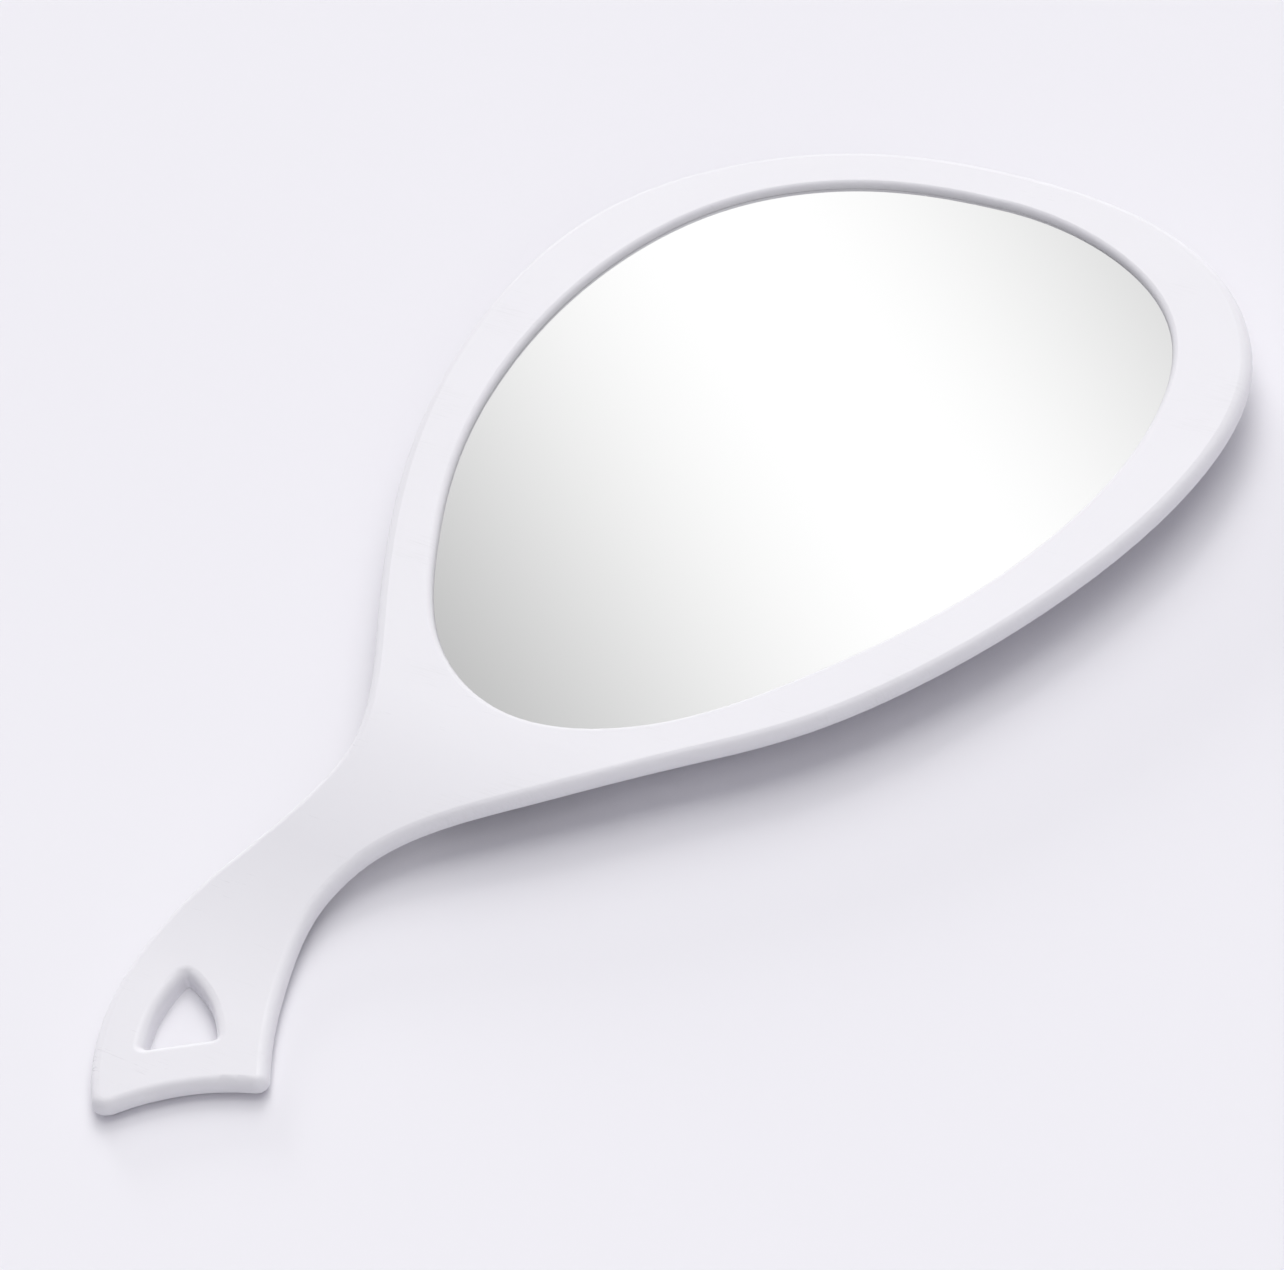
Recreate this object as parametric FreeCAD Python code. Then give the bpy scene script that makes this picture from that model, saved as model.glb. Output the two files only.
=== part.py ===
import FreeCAD, Part
import math
import os
from FreeCAD import Vector

# A salon hand mirror, lying on its back with the glass up.
# Frame: millimetres, +Y from the handle to the head, +Z out of the glass, and the origin
# under the middle of the whole mirror, on the surface that it lies on.

# ---- heights -------------------------------------------------------------------------------
LIP_TOP = 11.5            # top of the bezel above the table
RECESS = 1.35             # from the bezel's top down to the glass
EDGE_THICK = 4.0          # both mouldings together, at the rim and along the handle
FRONT_THICK = 2.6         # the front moulding's share of that; the seam lies under it
GLASS_THICK = 2.0
SILVER_THICK = 0.1
PAINT_THICK = 0.15
TAPE_THICK = 1.0

GLASS_TOP = LIP_TOP - RECESS
GLASS_BOTTOM = GLASS_TOP - GLASS_THICK
SILVER_BOTTOM = GLASS_BOTTOM - SILVER_THICK
PAINT_BOTTOM = SILVER_BOTTOM - PAINT_THICK
TAPE_BOTTOM = PAINT_BOTTOM - TAPE_THICK
SEAM = LIP_TOP - FRONT_THICK
FLANGE_BOTTOM = LIP_TOP - EDGE_THICK

# ---- the handle's sweep down to the table, two equal arcs, tangent to each other ------------
DROOP = 7.5
DROOP_START = -37.5
DROOP_END = -114.7

# ---- the egg round the glass ---------------------------------------------------------------
EGG_TOP = 134.4
EGG_BOTTOM = -33.2
EGG_HALF_WIDTH = 67.8
EGG_TURN = -1.12          # degrees that the egg's axis turns from +Y
EGG_SHIFT = -1.6          # and its shift along X
# (place along the axis from the handle's end, half-width), both as a share of the whole
EGG_STATIONS = [(0.971, 0.435), (0.871, 0.801), (0.71, 0.972), (0.532, 0.98),
                (0.358, 0.87), (0.197, 0.662), (0.06, 0.385)]
GLASS_GROW = 2.5          # how far the glass reaches under the bezel's lip
POCKET_GROW = 2.8         # the pocket round the glass
WELL_GROW = 2.9           # the well in the back moulding
DOME_GROW = 5.0           # the outside of the domed back, where it leaves the rim
GROOVE_GROW = (6.0, 7.4)  # the groove under the rim, for the tongue
TONGUE_GROW = (6.1, 7.3)
GROOVE_HEIGHT = 1.2
TONGUE_HEIGHT = 1.0

# ---- plan outline --------------------------------------------------------------------------
HEAD_TIP = (0.0, 144.7)
FLANK_RIGHT = [(6.0, -127.6), (-2.6, -114.6), (-9.1, -100.5), (-12.4, -86.7), (-9.6, -73.7),
               (-0.8, -61.9), (11.9, -50.5), (30.6, -33.0), (48.1, -16.3), (63.5, 6.8)]
HEAD_RIGHT = [(77.1, 41.8), (82.1, 76.7), (77.7, 103.1), (63.2, 124.3), (38.3, 139.3)]
HEAD_LEFT = [(-37.9, 138.7), (-62.7, 123.8), (-77.7, 103.2), (-82.1, 76.7), (-76.7, 41.9)]
FLANK_LEFT = [(-61.5, 5.7), (-46.6, -19.2), (-35.9, -36.1), (-29.2, -53.1), (-31.5, -71.2),
              (-37.5, -89.4), (-38.8, -107.9), (-32.8, -129.3), (-20.3, -146.5)]
TAIL_MIDDLE = (-9.3, -134.6)
TAIL_RADIUS_LEFT = 3.2
TAIL_RADIUS_RIGHT = 2.2

# ---- hanging hole, a pointed arch ----------------------------------------------------------
HOLE_BASE = (-16.3, -125.2)
HOLE_TURN = 34.7          # degrees that its point leans to the left of +Y
HOLE_WIDTH = 13.5
HOLE_HEIGHT = 18.4
HOLE_BULGE = 1.6
HOLE_CORNER = 0.7

# ---- edges and walls -----------------------------------------------------------------------
TOP_ROUND = 2.0
LIP_ROUND = 1.3           # the lip rolls over nearly all the way down to the glass
HOLE_ROUND = 2.0
BOTTOM_ROUND = 1.0
SEAM_STEP = 0.8           # the back moulding is this much smaller all round
INSET_STEPS = 80          # places where an inset outline is worked out from the outline itself
HANDLE_WALL = 2.3
HANDLE_SKIN = 1.5
CAVITY_TOP_Y = -47.5       # the handle is hollow from here to its end
HOLE_WALL = 2.0
DOME_WALL = 1.8
DOME_INSET = 18.0         # from the dome's side to its flat field
DOME_STEPS = 6            # sections that the dome's quarter ellipse is drawn through
WELL_BEND = 1.0           # the well's wall is upright down to this far under the rim
RIB = 1.4
PIN_RADIUS = 1.2
PIN_HEIGHT = 1.1
PIN_CLEAR = 0.1
BOSS_RADIUS = 2.8
PIN_PLACES = [(-10.0, -54.5), (-20.8, -79.5), (-24.0, -102.5)]
HANDLE_RIBS = [-66.7, -91.7]
TAPE_WIDTH = 12.0
TAPES = [(-4.7, 24.0), (31.3, 44.0), (71.3, 50.0), (107.3, 34.0)]   # middle y, half-length
RIB_SPACING = 8.0         # between the two ribs under each tape
SPINE_DROP = 1.0          # the long rib stays this far below the tapes
JOIN = 0.5                # features of one moulding run this far into each other
FAR = 400.0               # reaches past the mirror on every side
MARGIN = 5.0              # tools cut this far past the faces they open
TOLERANCE = 0.02


def egg_wire(grow, z):
    """The egg, grown outwards by a given amount, at height z."""
    top = EGG_TOP + grow
    bottom = EGG_BOTTOM - grow
    half = EGG_HALF_WIDTH + grow
    right = [Vector(half * w, bottom + (top - bottom) * t, z) for t, w in EGG_STATIONS]
    left = [Vector(-p.x, p.y, z) for p in reversed(right)]
    curve = Part.BSplineCurve()
    curve.interpolate([Vector(0, top, z)] + right + [Vector(0, bottom, z)] + left, PeriodicFlag=True)
    wire = Part.Wire([curve.toShape()])
    wire.rotate(Vector(0, 0, 0), Vector(0, 0, 1), EGG_TURN)
    wire.translate(Vector(EGG_SHIFT, 0, 0))
    return wire


def egg_prism(grow, z_low, z_high):
    """A straight-sided egg."""
    return Part.Face(egg_wire(grow, z_low)).extrude(Vector(0, 0, z_high - z_low))


def egg_ring(grows, z_low, z_high):
    """A loop between two eggs."""
    inner, outer = grows
    return egg_prism(outer, z_low, z_high).cut(egg_prism(inner, z_low, z_high))


def egg_bowl(grow, z_rim, depth, inset):
    """An egg whose side curves in to a flat bottom along a quarter ellipse."""
    sections = []
    for step in range(DOME_STEPS + 1):
        angle = math.pi / 2.0 * step / DOME_STEPS
        shrink = inset * (1.0 - math.cos(angle))
        sections.append(egg_wire(grow - shrink, z_rim - depth * math.sin(angle)))
    return Part.makeLoft(sections, True, False)


def outline_curve(inset=0.0):
    """One smooth line from the tail's right corner round the head to its left corner."""
    places = FLANK_RIGHT + HEAD_RIGHT + [HEAD_TIP] + HEAD_LEFT + FLANK_LEFT
    curve = Part.BSplineCurve()
    curve.interpolate([Vector(x, y, 0) for x, y in places])
    if not inset:
        return curve
    moved = []
    for step in range(INSET_STEPS + 1):
        place = curve.LastParameter * step / INSET_STEPS
        along = curve.tangent(place)[0]
        moved.append(curve.value(place) + Vector(-along.y, along.x, 0) * inset)
    inner = Part.BSplineCurve()
    inner.interpolate(moved)
    return inner


def outline_column(inset=0.0):
    """The whole mirror in plan as a column with sharp tail corners, taller than the mirror."""
    curve = outline_curve(inset)
    chord = Part.LineSegment(curve.EndPoint, curve.StartPoint)
    wire = Part.Wire([curve.toShape(), chord.toShape()])
    column = Part.Face(wire).extrude(Vector(0, 0, LIP_TOP + 2 * MARGIN))
    tail = Part.Circle(Vector(*FLANK_LEFT[-1], 0), Vector(*TAIL_MIDDLE, 0), Vector(*FLANK_RIGHT[0], 0))
    hollow = Part.makeCylinder(tail.Radius + inset, FAR, tail.Center - Vector(0, 0, MARGIN))
    column = column.cut(hollow)
    column.translate(Vector(0, 0, -MARGIN))
    return column


def is_upright(edge):
    return edge.BoundBox.XLength < TOLERANCE and edge.BoundBox.YLength < TOLERANCE


def rounded_column(inset=0.0):
    """The outline as a column with its two tail corners rounded."""
    column = outline_column(inset)
    for corner, radius in ((FLANK_LEFT[-1], TAIL_RADIUS_LEFT), (FLANK_RIGHT[0], TAIL_RADIUS_RIGHT)):
        upright = [e for e in column.Edges if is_upright(e)]
        nearest = min(upright, key=lambda e: math.dist((e.BoundBox.Center.x, e.BoundBox.Center.y), corner))
        column = column.makeFillet(radius - inset, [nearest])
    return column


def sweep_radius():
    return ((DROOP_START - DROOP_END) ** 2 + DROOP ** 2) / (4.0 * DROOP)


def swept_height(y, z):
    """The height at y of a surface that is level at z under the head and dips along the handle."""
    radius = sweep_radius()
    if y >= DROOP_START:
        return z
    if y <= DROOP_END:
        return z - DROOP
    if y >= (DROOP_START + DROOP_END) / 2.0:
        return z - radius + math.sqrt(radius ** 2 - (DROOP_START - y) ** 2)
    return z - DROOP + radius - math.sqrt(radius ** 2 - (y - DROOP_END) ** 2)


def swept_point(y, z):
    return Vector(-FAR, y, swept_height(y, z))


def swept_edges(z):
    """That surface's side view: level, two equal arcs, and level again."""
    run = DROOP_START - DROOP_END
    start, first, middle, last, end = [swept_point(DROOP_START - run * k / 4.0, z) for k in range(5)]
    return [Part.LineSegment(swept_point(FAR, z), start).toShape(),
            Part.Arc(start, first, middle).toShape(),
            Part.Arc(middle, last, end).toShape(),
            Part.LineSegment(end, swept_point(-FAR, z)).toShape()]


def swept_layer(z_low, z_high):
    """Everything between two such surfaces, wide enough to cover the mirror."""
    ends = [Part.LineSegment(swept_point(y, z_low), swept_point(y, z_high)).toShape() for y in (-FAR, FAR)]
    edges = swept_edges(z_high) + swept_edges(z_low) + ends
    wire = Part.Wire(Part.__sortEdges__(edges))
    return Part.Face(wire).extrude(Vector(2 * FAR, 0, 0))


def edges_at(shape, z, inside=None):
    """The edges round a face that lies on the surface of level z, without the lines across it."""
    found = []
    for edge in shape.Edges:
        if edge.Curve.TypeId == "Part::GeomLine":
            continue
        span = edge.LastParameter - edge.FirstParameter
        points = [edge.valueAt(edge.FirstParameter + span * k / 4.0) for k in range(5)]
        on_level = all(abs(p.z - swept_height(p.y, z)) < TOLERANCE for p in points)
        if on_level and (inside is None or inside(edge.BoundBox)):
            found.append(edge)
    return found


def hole_column(grow=0.0):
    """The hanging hole, a pointed arch, as a column, grown outwards by a given amount."""
    half = HOLE_WIDTH / 2.0
    left, right, tip = Vector(-half, 0, 0), Vector(half, 0, 0), Vector(0, HOLE_HEIGHT, 0)
    side = tip - right
    outward = Vector(side.y, -side.x, 0).normalize()
    right_middle = (tip + right) * 0.5 + outward * HOLE_BULGE
    left_middle = Vector(-right_middle.x, right_middle.y, 0)
    wire = Part.Wire([Part.LineSegment(left, right).toShape(),
                      Part.Arc(right, right_middle, tip).toShape(),
                      Part.Arc(tip, left_middle, left).toShape()])
    if grow:
        wire = wire.makeOffset2D(grow)
    column = Part.Face(wire).extrude(Vector(0, 0, LIP_TOP + 2 * MARGIN))
    if not grow:
        column = column.makeFillet(HOLE_CORNER, [e for e in column.Edges if is_upright(e)])
    column.rotate(Vector(0, 0, 0), Vector(0, 0, 1), HOLE_TURN)
    column.translate(Vector(HOLE_BASE[0], HOLE_BASE[1], -MARGIN))
    return column


def near_hole(box):
    reach = HOLE_WIDTH + HOLE_HEIGHT
    return math.dist((box.Center.x, box.Center.y), HOLE_BASE) < reach and box.DiagonalLength < reach


def is_round_opening(box):
    """True for the box of an edge that runs all the way round the egg, and no further out."""
    return abs(box.XLength - 2 * EGG_HALF_WIDTH) < MARGIN and box.YMax < EGG_TOP + MARGIN


def front_blank():
    """The front moulding from outside, without the hanging hole: rounded edges and the egg opening."""
    blank = rounded_column().common(swept_layer(SEAM, LIP_TOP))
    blank = blank.makeFillet(TOP_ROUND, edges_at(blank, LIP_TOP))
    blank = blank.cut(egg_prism(0.0, SEAM - MARGIN, LIP_TOP + MARGIN))
    lip = edges_at(blank, LIP_TOP, is_round_opening)
    return blank.makeFillet(LIP_ROUND, lip)


def handle_cavity():
    """The hollow in the front moulding's handle, which leaves the hole's collar, bosses and ribs."""
    cavity = outline_column(HANDLE_WALL).common(swept_layer(SEAM - MARGIN, LIP_TOP - HANDLE_SKIN))
    cavity = cavity.common(Part.makeBox(2 * FAR, FAR, 2 * FAR, Vector(-FAR, CAVITY_TOP_Y - FAR, -FAR)))
    cavity = cavity.cut(hole_column(HOLE_WALL))
    for x, y in PIN_PLACES:
        cavity = cavity.cut(Part.makeCylinder(BOSS_RADIUS, FAR, Vector(x, y, -FAR / 2)))
    for y in HANDLE_RIBS:
        cavity = cavity.cut(Part.makeBox(2 * FAR, RIB, 2 * FAR, Vector(-FAR, y - RIB / 2, -FAR)))
    return cavity


def pin(x, y, radius, height):
    """A locating pin that stands up from the seam, or the socket for one, with a short root below it."""
    seam = swept_height(y, SEAM)
    return Part.makeCylinder(radius, height + JOIN, Vector(x, y, seam - JOIN))


def make_front_frame():
    frame = front_blank()
    frame = frame.cut(hole_column())
    frame = frame.makeFillet(HOLE_ROUND, edges_at(frame, LIP_TOP, near_hole))
    frame = frame.cut(egg_prism(POCKET_GROW, SEAM - MARGIN, GLASS_TOP))
    frame = frame.cut(egg_ring(GROOVE_GROW, SEAM - MARGIN, SEAM + GROOVE_HEIGHT))
    frame = frame.cut(handle_cavity())
    for x, y in PIN_PLACES:
        frame = frame.cut(pin(x, y, PIN_RADIUS + PIN_CLEAR, PIN_HEIGHT + PIN_CLEAR))
    return frame


def make_glass_pane():
    return egg_prism(GLASS_GROW, GLASS_BOTTOM, GLASS_TOP)


def make_silver_layer():
    return egg_prism(GLASS_GROW, SILVER_BOTTOM, GLASS_BOTTOM)


def make_backing_paint():
    return egg_prism(GLASS_GROW, PAINT_BOTTOM, SILVER_BOTTOM)


def make_foam_tape(middle_y, half_length):
    """One strip of double-sided foam tape between the painted glass and a pair of ribs."""
    corner = Vector(-half_length, middle_y - TAPE_WIDTH / 2, TAPE_BOTTOM)
    return Part.makeBox(2 * half_length, TAPE_WIDTH, TAPE_THICK, corner)


def tape_ribs():
    """A pair of ribs across the well under each strip of tape."""
    ribs = []
    for middle_y, half_length in TAPES:
        for side in (-1, 1):
            y = middle_y + side * RIB_SPACING / 2 - RIB / 2
            corner = Vector(-half_length - RIB / 2, y, DOME_WALL / 2)
            ribs.append(Part.makeBox(2 * half_length + RIB, RIB, TAPE_BOTTOM - DOME_WALL / 2, corner))
    return ribs


def spine_rib():
    """One lower rib along the well, which ties the others together."""
    low, high = TAPES[0][0], TAPES[-1][0]
    corner = Vector(-RIB / 2, low, DOME_WALL / 2)
    return Part.makeBox(RIB, high - low, TAPE_BOTTOM - DOME_WALL / 2 - SPINE_DROP, corner)


def make_back_shell():
    """The back moulding: a flange under the rim and the handle, a shallow domed well, and ribs."""
    shell = rounded_column(SEAM_STEP).common(swept_layer(FLANGE_BOTTOM, SEAM))
    shell = shell.makeFillet(BOTTOM_ROUND, edges_at(shell, FLANGE_BOTTOM))
    dome = egg_bowl(DOME_GROW, FLANGE_BOTTOM + JOIN, FLANGE_BOTTOM + JOIN, DOME_INSET)
    shell = shell.fuse(dome)
    well_low = FLANGE_BOTTOM - WELL_BEND
    well = egg_prism(WELL_GROW, well_low, SEAM + MARGIN)
    well = well.fuse(egg_bowl(WELL_GROW, well_low, well_low - DOME_WALL, DOME_INSET))
    shell = shell.cut(well)
    shell = shell.multiFuse(tape_ribs() + [spine_rib()])
    shell = shell.fuse(egg_ring(TONGUE_GROW, SEAM - JOIN, SEAM + TONGUE_HEIGHT))
    for x, y in PIN_PLACES:
        shell = shell.fuse(pin(x, y, PIN_RADIUS, PIN_HEIGHT))
    shell = shell.cut(hole_column())
    return shell


def save(shape, name):
    """Write one piece, which must be a single sound solid."""
    shape = shape.removeSplitter()
    solid = shape.Solids[0]
    box = solid.BoundBox
    print(name, "valid", shape.isValid(), "solids", len(shape.Solids), "volume", round(shape.Volume, 1),
          "box", [round(v, 2) for v in (box.XMin, box.YMin, box.ZMin, box.XMax, box.YMax, box.ZMax)])
    solid.exportStep("parts/" + name + ".step")


os.makedirs("parts", exist_ok=True)
save(make_front_frame(), "front_frame")
save(make_back_shell(), "back_shell")
save(make_glass_pane(), "glass_pane")
save(make_silver_layer(), "silver_layer")
save(make_backing_paint(), "backing_paint")
for number, (middle, reach) in enumerate(TAPES, start=1):
    save(make_foam_tape(middle, reach), "foam_tape_%d" % number)
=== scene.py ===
import math

import bpy
from mathutils import Matrix, Vector

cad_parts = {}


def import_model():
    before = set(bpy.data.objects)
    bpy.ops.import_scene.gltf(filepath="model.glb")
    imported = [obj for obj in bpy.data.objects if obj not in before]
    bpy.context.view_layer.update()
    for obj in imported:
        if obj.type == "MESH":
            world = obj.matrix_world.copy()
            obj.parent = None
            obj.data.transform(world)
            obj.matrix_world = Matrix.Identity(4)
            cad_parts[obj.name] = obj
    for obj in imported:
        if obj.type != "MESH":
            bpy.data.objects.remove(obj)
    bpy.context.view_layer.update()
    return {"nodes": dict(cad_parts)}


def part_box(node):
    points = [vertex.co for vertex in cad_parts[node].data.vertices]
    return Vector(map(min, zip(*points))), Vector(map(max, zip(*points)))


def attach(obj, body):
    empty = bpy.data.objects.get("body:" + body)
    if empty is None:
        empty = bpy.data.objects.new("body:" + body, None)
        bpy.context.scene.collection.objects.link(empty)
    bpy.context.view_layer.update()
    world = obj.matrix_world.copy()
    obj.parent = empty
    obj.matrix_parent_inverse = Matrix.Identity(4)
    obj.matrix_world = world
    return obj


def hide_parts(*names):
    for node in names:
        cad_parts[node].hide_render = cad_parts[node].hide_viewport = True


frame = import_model()

# ---- camera: from the right of the handle, tilted so that the mirror runs across the frame ----
CAMERA_AZIMUTH = 43.5       # degrees round +Z from looking along +Y
CAMERA_ELEVATION = 39.9
CAMERA_ROLL = 14.0
CAMERA_DISTANCE = 1.2
CAMERA_LENS = 177.07
CAMERA_SENSOR = 36.0
CAMERA_CLIP = (0.05, 40.0)
CAMERA_AIM = Vector((0.00707, -0.00499, 0.0115))

# ---- light ----------------------------------------------------------------------------------
WORLD_STRENGTH = 0.28
WORLD_TINT = (0.95, 0.94, 1.07, 1)
ROOM_LOW, ROOM_HIGH = 0.80, 0.45    # what gloss reflects, from the horizon up to overhead
ROOM_TINT = (1.0, 0.997, 1.0, 1)
ROOM_SHAPES = 2.6
ROOM_CONTRAST = 0.75
# (name, degrees round +Z from +X, degrees above the table, angular width, strength)
SOFT_SUNS = [("overhead", 100.0, 66.0, 60.0, 1.34),
             ("key", 120.0, 34.0, 30.0, 1.30),
             ("low", 143.0, 11.0, 10.0, 1.0),
             ("fill", 322.0, 40.0, 60.0, 0.68)]
SUN_TINT = (1.0, 0.997, 0.972)

CARD_DISTANCE = 1.6         # the reflection card, seen in the glass
CARD_SIZE = 1.6
CARD_BASE = 0.15
CARD_PEAK = 0.89
CARD_SPREAD = 0.165         # half-width of the bright band, as a standard deviation
CARD_BAND_TURN = 33.3       # degrees from the card's own X to the line across the band
CARD_BAND_PLACE = 0.130     # from the card's middle to the band's middle

# ---- finishes -------------------------------------------------------------------------------
# A noise is (scale, detail) or (scale, detail, roughness); a bump is (strength, distance in metres).
FRONT_TINTS = ((0.795, 0.787, 0.822, 1), (0.775, 0.767, 0.803, 1))
BACK_TINTS = ((0.78, 0.772, 0.806, 1), (0.76, 0.752, 0.788, 1))
PLASTIC_ROUGHNESS = (0.24, 0.5)     # from untouched to worn
PLASTIC_CLOUDS = (28.0, 2.0)
PLASTIC_HANDLING = (55.0, 4.0)
PLASTIC_PEEL = (420.0, 2.0)
PLASTIC_PEEL_BUMP = (0.12, 0.00012)
PLASTIC_COAT, PLASTIC_COAT_ROUGHNESS = 0.25, 0.12
SCRATCH_NOISE = (3.0, 4.0, 0.7)
SCRATCH_SCALE = (40.0, 900.0, 300.0)     # the scratches run across the mirror, along X
SCRATCH_TURN = 0.6                  # radians; applied after the scale, so it only picks a new pattern
SCUFF_START, SCUFF_FULL, SCUFF_DEPTH = 0.33, 0.5, 0.5
SCUFF_TINT = (0.70, 0.695, 0.72, 1)

MIRROR_TINTS = ((0.985, 0.985, 0.985, 1), (0.975, 0.978, 0.976, 1))
MIRROR_SMUDGES = (45.0, 5.0, 0.6)
MIRROR_CLOUDS = (9.0, 2.0)
MIRROR_WAVES = (30.0, 1.0)
MIRROR_WAVE_BUMP = (0.05, 0.00001)
PANE_SMEAR, PANE_COAT = 0.02, 0.5
SILVER_SMEAR, SILVER_COAT = 0.01, 0.0
GLASS_GAP = 0.00003         # the visible pane just clears the lip above it and the silver below it

PAINT_TINTS = ((0.10, 0.105, 0.115, 1), (0.14, 0.145, 0.155, 1))
PAINT_GRAIN = (600.0, 4.0)
PAINT_ROUGHNESS = (0.6, 0.8)
PAINT_BUMP = (0.3, 0.0001)

FOAM_TINTS = ((0.62, 0.62, 0.60, 1), (0.72, 0.72, 0.70, 1))
FOAM_CELL_SCALE = 2200.0
FOAM_ROUGHNESS = (0.8, 0.95)
FOAM_BUMP = (0.6, 0.0003)

FLOOR_SIZE = 8.0
FLOOR_TINTS = ((0.80, 0.79, 0.832, 1), (0.81, 0.802, 0.84, 1))
FLOOR_CLOUDS = (2.5, 2.0)
FLOOR_ROUGHNESS = (0.55, 0.65)
FLOOR_SPECULAR = 0.25


class Nodes:
    """A small helper that adds and links shader nodes."""

    def __init__(self, tree):
        self.tree = tree

    def add(self, kind, inputs=None, **settings):
        node = self.tree.nodes.new(kind)
        for key, value in settings.items():
            setattr(node, key, value)
        for key, value in (inputs or {}).items():
            self.feed(node.inputs[key], value)
        return node

    def feed(self, socket, value):
        if isinstance(value, bpy.types.NodeSocket):
            self.tree.links.new(value, socket)
        else:
            socket.default_value = value

    def calc(self, operation, *values):
        return self.add("ShaderNodeMath", dict(enumerate(values)), operation=operation).outputs[0]

    def noise(self, where, scale, detail, roughness=0.5):
        node = self.add("ShaderNodeTexNoise", {"Vector": where, "Scale": scale, "Detail": detail,
                                               "Roughness": roughness})
        return node.outputs["Fac"]

    def spread(self, value, low, high):
        """Maps 0..1 onto low..high."""
        node = self.add("ShaderNodeMapRange", {"Value": value, "To Min": low, "To Max": high})
        return node.outputs["Result"]

    def blend(self, share, first, second):
        node = self.add("ShaderNodeMix", {"Factor": share}, data_type="RGBA")
        self.feed(node.inputs["A"], first)
        self.feed(node.inputs["B"], second)
        return node.outputs["Result"]


def material(name):
    made = bpy.data.materials.new(name)
    made.use_nodes = True
    nodes = Nodes(made.node_tree)
    shader = made.node_tree.nodes["Principled BSDF"]
    where = nodes.add("ShaderNodeTexCoord").outputs["Object"]
    return made, nodes, shader, where


def add_bump(nodes, shader, height, strength, distance):
    bump = nodes.add("ShaderNodeBump", {"Height": height, "Strength": strength, "Distance": distance})
    nodes.feed(shader.inputs["Normal"], bump.outputs["Normal"])


def white_plastic(name, tints):
    """Satin moulded plastic: a slight peel, a cloudy white, and faint scuffs from being handled."""
    made, nodes, shader, where = material(name)
    marks = nodes.add("ShaderNodeMapping", {"Vector": where, "Scale": SCRATCH_SCALE,
                                            "Rotation": (0.0, 0.0, SCRATCH_TURN)}).outputs["Vector"]
    scratches = nodes.noise(marks, *SCRATCH_NOISE)
    handling = nodes.noise(where, *PLASTIC_HANDLING)
    wear = nodes.calc("MULTIPLY", scratches, handling)
    nodes.feed(shader.inputs["Roughness"], nodes.spread(wear, *PLASTIC_ROUGHNESS))
    clouds = nodes.noise(where, *PLASTIC_CLOUDS)
    clean = nodes.blend(clouds, *tints)
    scuffed = nodes.add("ShaderNodeMapRange",
                        {"Value": wear, "From Min": SCUFF_START, "From Max": SCUFF_FULL,
                         "To Max": SCUFF_DEPTH}).outputs["Result"]
    nodes.feed(shader.inputs["Base Color"], nodes.blend(scuffed, clean, SCUFF_TINT))
    add_bump(nodes, shader, nodes.noise(where, *PLASTIC_PEEL), *PLASTIC_PEEL_BUMP)
    shader.inputs["Coat Weight"].default_value = PLASTIC_COAT
    shader.inputs["Coat Roughness"].default_value = PLASTIC_COAT_ROUGHNESS
    return made


def silvered(name, smear, coat):
    """Silvering: a bright metal with the faintest smears, under clear glass when it has a coat."""
    made, nodes, shader, where = material(name)
    smudges = nodes.noise(where, *MIRROR_SMUDGES)
    nodes.feed(shader.inputs["Roughness"], nodes.spread(smudges, 0.0, smear))
    clouds = nodes.noise(where, *MIRROR_CLOUDS)
    nodes.feed(shader.inputs["Base Color"], nodes.blend(clouds, *MIRROR_TINTS))
    add_bump(nodes, shader, nodes.noise(where, *MIRROR_WAVES), *MIRROR_WAVE_BUMP)
    shader.inputs["Metallic"].default_value = 1.0
    shader.inputs["Coat Weight"].default_value = coat
    shader.inputs["Coat Roughness"].default_value = 0.0
    return made


def matt_paint(name):
    """The protective paint behind the silver: flat, with a fine grain."""
    made, nodes, shader, where = material(name)
    grain = nodes.noise(where, *PAINT_GRAIN)
    nodes.feed(shader.inputs["Base Color"], nodes.blend(grain, *PAINT_TINTS))
    nodes.feed(shader.inputs["Roughness"], nodes.spread(grain, *PAINT_ROUGHNESS))
    add_bump(nodes, shader, grain, *PAINT_BUMP)
    return made


def foam(name):
    """Closed-cell foam tape."""
    made, nodes, shader, where = material(name)
    voronoi = nodes.add("ShaderNodeTexVoronoi", {"Vector": where, "Scale": FOAM_CELL_SCALE})
    cells = voronoi.outputs["Distance"]
    nodes.feed(shader.inputs["Base Color"], nodes.blend(cells, *FOAM_TINTS))
    nodes.feed(shader.inputs["Roughness"], nodes.spread(cells, *FOAM_ROUGHNESS))
    add_bump(nodes, shader, cells, *FOAM_BUMP)
    return made


def dress(node, made):
    obj = frame["nodes"][node]
    obj.data.materials.clear()
    obj.data.materials.append(made)


dress("front_frame", white_plastic("front_white", FRONT_TINTS))
dress("back_shell", white_plastic("back_white", BACK_TINTS))


def visible_glass():
    """The pane that is seen: the same glass, a hair thinner, with its silvering on show."""
    cad = frame["nodes"]["glass_pane"]
    low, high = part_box("glass_pane")
    middle = (low.z + high.z) / 2
    mesh = cad.data.copy()
    for vertex in mesh.vertices:
        vertex.co.z += GLASS_GAP if vertex.co.z < middle else -GLASS_GAP
    mesh.materials.clear()
    mesh.materials.append(silvered("mirror_finish", PANE_SMEAR, PANE_COAT))
    pane = bpy.data.objects.new("mirror_pane", mesh)
    bpy.context.scene.collection.objects.link(pane)
    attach(pane, "root")
    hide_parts("glass_pane")


visible_glass()
dress("silver_layer", silvered("silver", SILVER_SMEAR, SILVER_COAT))
dress("backing_paint", matt_paint("grey_paint"))
tape_look = foam("foam_tape")
for name in frame["nodes"]:
    if name.startswith("foam_tape"):
        dress(name, tape_look)


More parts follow.
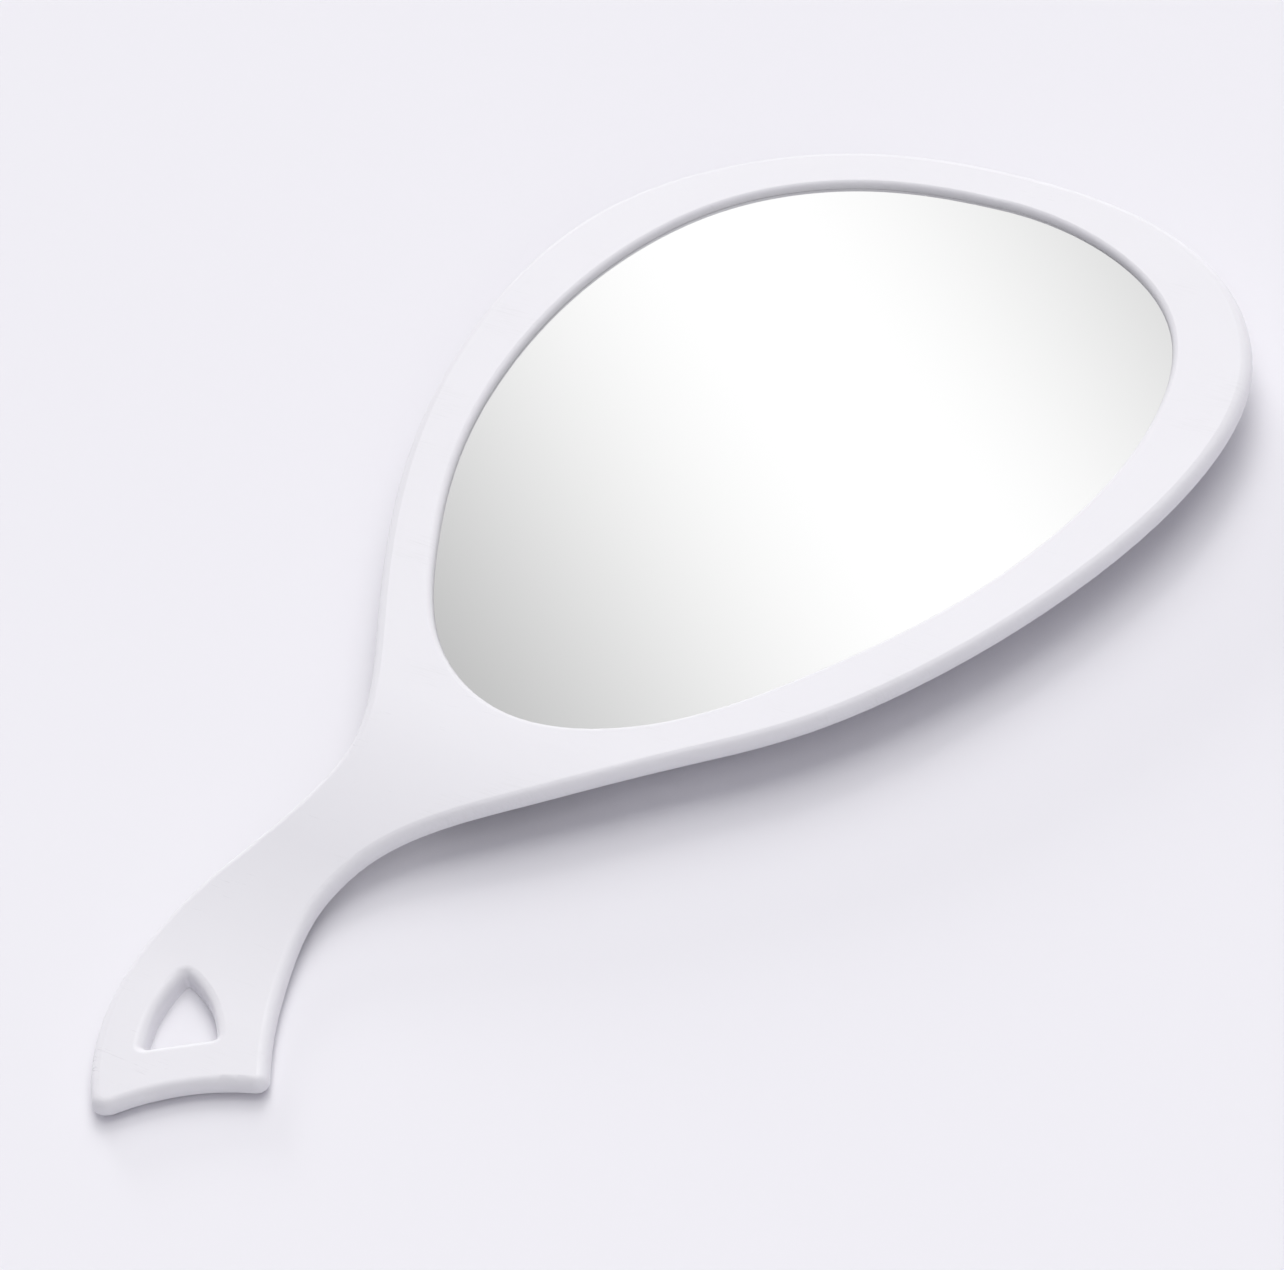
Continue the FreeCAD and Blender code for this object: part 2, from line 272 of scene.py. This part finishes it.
# ---- floor ----------------------------------------------------------------------------------
def floor():
    bpy.ops.mesh.primitive_plane_add(size=FLOOR_SIZE, location=(0, 0, 0))
    ground = bpy.context.object
    ground.name = "floor"
    made, nodes, shader, where = material("floor_white")
    clouds = nodes.noise(where, *FLOOR_CLOUDS)
    nodes.feed(shader.inputs["Base Color"], nodes.blend(clouds, *FLOOR_TINTS))
    nodes.feed(shader.inputs["Roughness"], nodes.spread(clouds, *FLOOR_ROUGHNESS))
    shader.inputs["Specular IOR Level"].default_value = FLOOR_SPECULAR
    ground.data.materials.append(made)


floor()


# ---- camera ---------------------------------------------------------------------------------
def camera_axes():
    turn, rise, roll = (math.radians(v) for v in (CAMERA_AZIMUTH, CAMERA_ELEVATION, CAMERA_ROLL))
    back = Vector((math.sin(turn) * math.cos(rise), -math.cos(turn) * math.cos(rise), math.sin(rise)))
    right = Vector((math.cos(turn), math.sin(turn), 0.0))
    up = back.cross(right)
    across = right * math.cos(roll) - up * math.sin(roll)
    above = right * math.sin(roll) + up * math.cos(roll)
    return across, above, back


def placed(x_axis, y_axis, z_axis, where):
    turn = Matrix((x_axis, y_axis, z_axis)).transposed().to_4x4()
    return Matrix.Translation(where) @ turn


def camera():
    across, above, back = camera_axes()
    data = bpy.data.cameras.new("camera")
    data.lens = CAMERA_LENS
    data.sensor_width = CAMERA_SENSOR
    data.clip_start, data.clip_end = CAMERA_CLIP
    cam = bpy.data.objects.new("camera", data)
    bpy.context.scene.collection.objects.link(cam)
    cam.matrix_world = placed(across, above, back, CAMERA_AIM + back * CAMERA_DISTANCE)
    bpy.context.scene.camera = cam


camera()


# ---- lights ---------------------------------------------------------------------------------
def soft_sun(name, turn, height, width, strength):
    data = bpy.data.lights.new(name, "SUN")
    data.angle = math.radians(width)
    data.energy = strength
    data.color = SUN_TINT
    light = bpy.data.objects.new(name, data)
    bpy.context.scene.collection.objects.link(light)
    turn, height = math.radians(turn), math.radians(height)
    level = math.cos(height)
    towards = Vector((math.cos(turn) * level, math.sin(turn) * level, math.sin(height)))
    light.rotation_mode = "QUATERNION"
    light.rotation_quaternion = towards.to_track_quat("Z", "Y")
    light.visible_glossy = False
    light.visible_transmission = False


for values in SOFT_SUNS:
    soft_sun(*values)


def reflection_card():
    """A softly graded white card that stands where the glass looks, like a studio softbox."""
    across, above, back = camera_axes()
    flip = Vector((1, 1, -1))
    x_axis, y_axis = across * flip, above * flip
    outward = Vector((-back.x, -back.y, back.z))
    bpy.ops.mesh.primitive_plane_add(size=CARD_SIZE)
    card = bpy.context.object
    card.name = "reflection_card"
    card.matrix_world = placed(x_axis, y_axis, x_axis.cross(y_axis), CAMERA_AIM + outward * CARD_DISTANCE)
    made = bpy.data.materials.new("card_light")
    made.use_nodes = True
    tree = made.node_tree
    tree.nodes.remove(tree.nodes["Principled BSDF"])
    nodes = Nodes(tree)
    where = nodes.add("ShaderNodeTexCoord").outputs["Object"]
    angle = math.radians(CARD_BAND_TURN)
    across_band = nodes.add("ShaderNodeVectorMath", {0: where, 1: (math.cos(angle), math.sin(angle), 0)},
                            operation="DOT_PRODUCT").outputs["Value"]
    share = nodes.calc("DIVIDE", nodes.calc("SUBTRACT", across_band, CARD_BAND_PLACE), CARD_SPREAD)
    square = nodes.calc("MULTIPLY", share, share)
    bell = nodes.calc("EXPONENT", nodes.calc("MULTIPLY", square, -0.5))
    strength = nodes.calc("MULTIPLY_ADD", bell, CARD_PEAK, CARD_BASE)
    glow = nodes.add("ShaderNodeEmission", {"Strength": strength})
    nodes.feed(tree.nodes["Material Output"].inputs["Surface"], glow.outputs[0])
    card.data.materials.append(made)
    card.visible_camera = False
    card.visible_diffuse = False
    card.visible_shadow = False


reflection_card()


def world():
    """Even light all round, with a paler, softly graded room for the glass and the gloss to reflect."""
    sky = bpy.data.worlds.new("studio")
    bpy.context.scene.world = sky
    sky.use_nodes = True
    tree = sky.node_tree
    nodes = Nodes(tree)
    even = tree.nodes["Background"]
    even.inputs["Color"].default_value = WORLD_TINT
    even.inputs["Strength"].default_value = WORLD_STRENGTH
    towards = nodes.add("ShaderNodeTexCoord").outputs["Generated"]
    height = nodes.add("ShaderNodeSeparateXYZ", {"Vector": towards}).outputs["Z"]
    grade = nodes.add("ShaderNodeMapRange", {"Value": height, "To Min": ROOM_LOW, "To Max": ROOM_HIGH},
                      interpolation_type="SMOOTHSTEP").outputs["Result"]
    walls = nodes.spread(nodes.noise(towards, ROOM_SHAPES, 1.0), -ROOM_CONTRAST, ROOM_CONTRAST)
    graded = nodes.calc("ADD", grade, walls)
    room = nodes.add("ShaderNodeBackground", {"Color": ROOM_TINT, "Strength": graded})
    glossy = nodes.add("ShaderNodeLightPath").outputs["Is Glossy Ray"]
    mixed = nodes.add("ShaderNodeMixShader", {0: glossy, 1: even.outputs[0], 2: room.outputs[0]})
    nodes.feed(tree.nodes["World Output"].inputs["Surface"], mixed.outputs[0])


world()
bpy.context.scene.view_settings.view_transform = "Standard"
